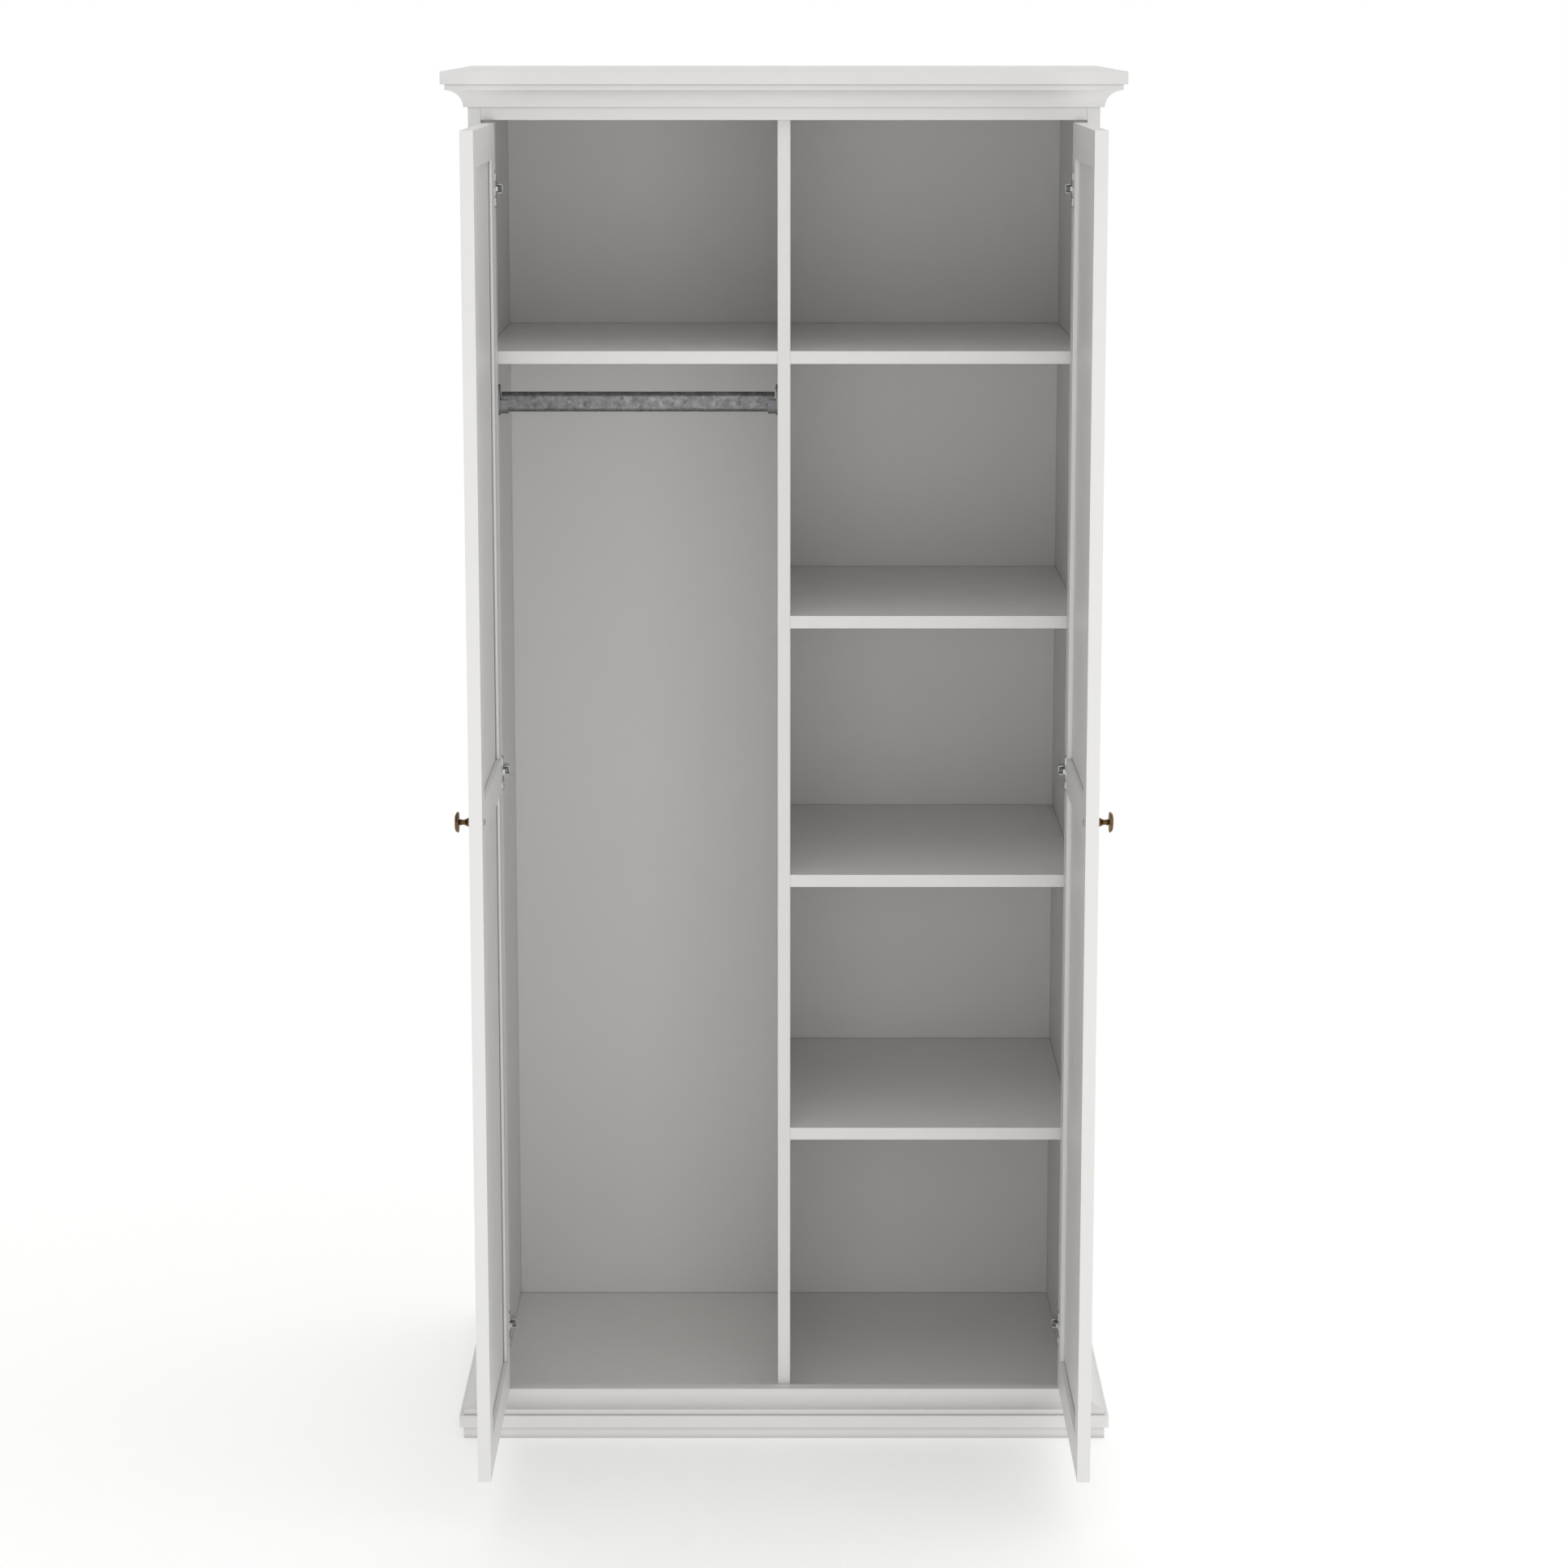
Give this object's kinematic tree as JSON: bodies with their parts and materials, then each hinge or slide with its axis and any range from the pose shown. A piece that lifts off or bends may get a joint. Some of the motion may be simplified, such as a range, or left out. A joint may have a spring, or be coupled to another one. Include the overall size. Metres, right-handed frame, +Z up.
{
  "type": "two-door wardrobe",
  "caption": "White free-standing wardrobe with two framed doors, moulded cornice and base, a hanging bay with a clothes rail, and a bay of shelves.",
  "frame": {"origin": "floor level, at the centre of the box around the wardrobe with both doors open at 90 degrees", "axes": "+X to the viewer's right, +Y from the doors to the back, +Z up"},
  "size_m": [0.962, 0.992, 2],
  "materials": {
    "white_board": "wood-based board with a smooth white foil",
    "white_backing": "thin fibreboard, white on the inside",
    "hinge_steel": "nickel-plated steel",
    "zinc": "galvanised, mottled",
    "bronze": "antique bronze, worn lighter on its edges",
    "beech": "plain beech"
  },
  "bodies": {
    "cabinet": {"left_side_panel": "white_board", "right_side_panel": "white_board", "centre_divider": "white_board", "cornice_board": "white_board", "base_board": "white_board", "top_front_rail": "white_board", "bottom_front_sill": "white_board", "hanging_bay_shelf": "white_board", "right_shelf_top": "white_board", "right_shelf_upper": "white_board", "right_shelf_lower": "white_board", "right_shelf_bottom": "white_board", "left_back_panel": "white_backing", "right_back_panel": "white_backing", "cornice_cove_front": "white_board", "cornice_cove_left": "white_board", "cornice_cove_right": "white_board", "base_cove_front": "white_board", "base_cove_left": "white_board", "base_cove_right": "white_board", "plinth_front": "white_board", "plinth_left": "white_board", "plinth_right": "white_board", "plinth_back": "white_board", "clothes_rail": "zinc", "rail_sockets": "zinc", "rail_socket_screws": "hinge_steel", "hinge_plates": "hinge_steel", "hinge_arms": "hinge_steel", "hinge_plate_screws": "hinge_steel", "dowels": "beech", "shelf_cams": "zinc", "shelf_cam_bolts": "hinge_steel", "corner_screws": "hinge_steel", "back_panel_nails": "hinge_steel"},
    "left_door": {"left_hinge_stile": "white_board", "left_knob_stile": "white_board", "left_door_top_rail": "white_board", "left_door_middle_rail": "white_board", "left_door_bottom_rail": "white_board", "left_upper_panel": "white_board", "left_lower_panel": "white_board", "left_hinge_cups": "hinge_steel", "left_cup_screws": "hinge_steel", "left_knob": "bronze", "left_knob_screw": "hinge_steel"},
    "right_door": {"right_hinge_stile": "white_board", "right_knob_stile": "white_board", "right_door_top_rail": "white_board", "right_door_middle_rail": "white_board", "right_door_bottom_rail": "white_board", "right_upper_panel": "white_board", "right_lower_panel": "white_board", "right_hinge_cups": "hinge_steel", "right_cup_screws": "hinge_steel", "right_knob": "bronze", "right_knob_screw": "hinge_steel"},
    "left_links": {"left_hinge_links": "hinge_steel"},
    "right_links": {"right_hinge_links": "hinge_steel"}
  },
  "joints": [
    {"name": "left_door_swing", "type": "hinge", "parent": "cabinet", "child": "left_door", "pos_m": [-0.422, -0.0755, 1], "axis": [0, 0, 1], "range_deg": [-5, 90]},
    {"name": "right_door_swing", "type": "hinge", "parent": "cabinet", "child": "right_door", "pos_m": [0.422, -0.0755, 1], "axis": [0, 0, -1], "range_deg": [-5, 90]},
    {"name": "left_hinge_link_turn", "type": "hinge", "parent": "left_door", "child": "left_links", "pos_m": [-0.4105, -0.0803, 1], "axis": [0, 0, -1], "range_deg": [-9, 162]},
    {"name": "right_hinge_link_turn", "type": "hinge", "parent": "right_door", "child": "right_links", "pos_m": [0.4105, -0.0803, 1], "axis": [0, 0, 1], "range_deg": [-9, 162]}
  ],
  "couplings": [
    {"joint": "left_hinge_link_turn", "follows": "left_door_swing", "ratio": 1.7932},
    {"joint": "right_hinge_link_turn", "follows": "right_door_swing", "ratio": 1.7932}
  ]
}
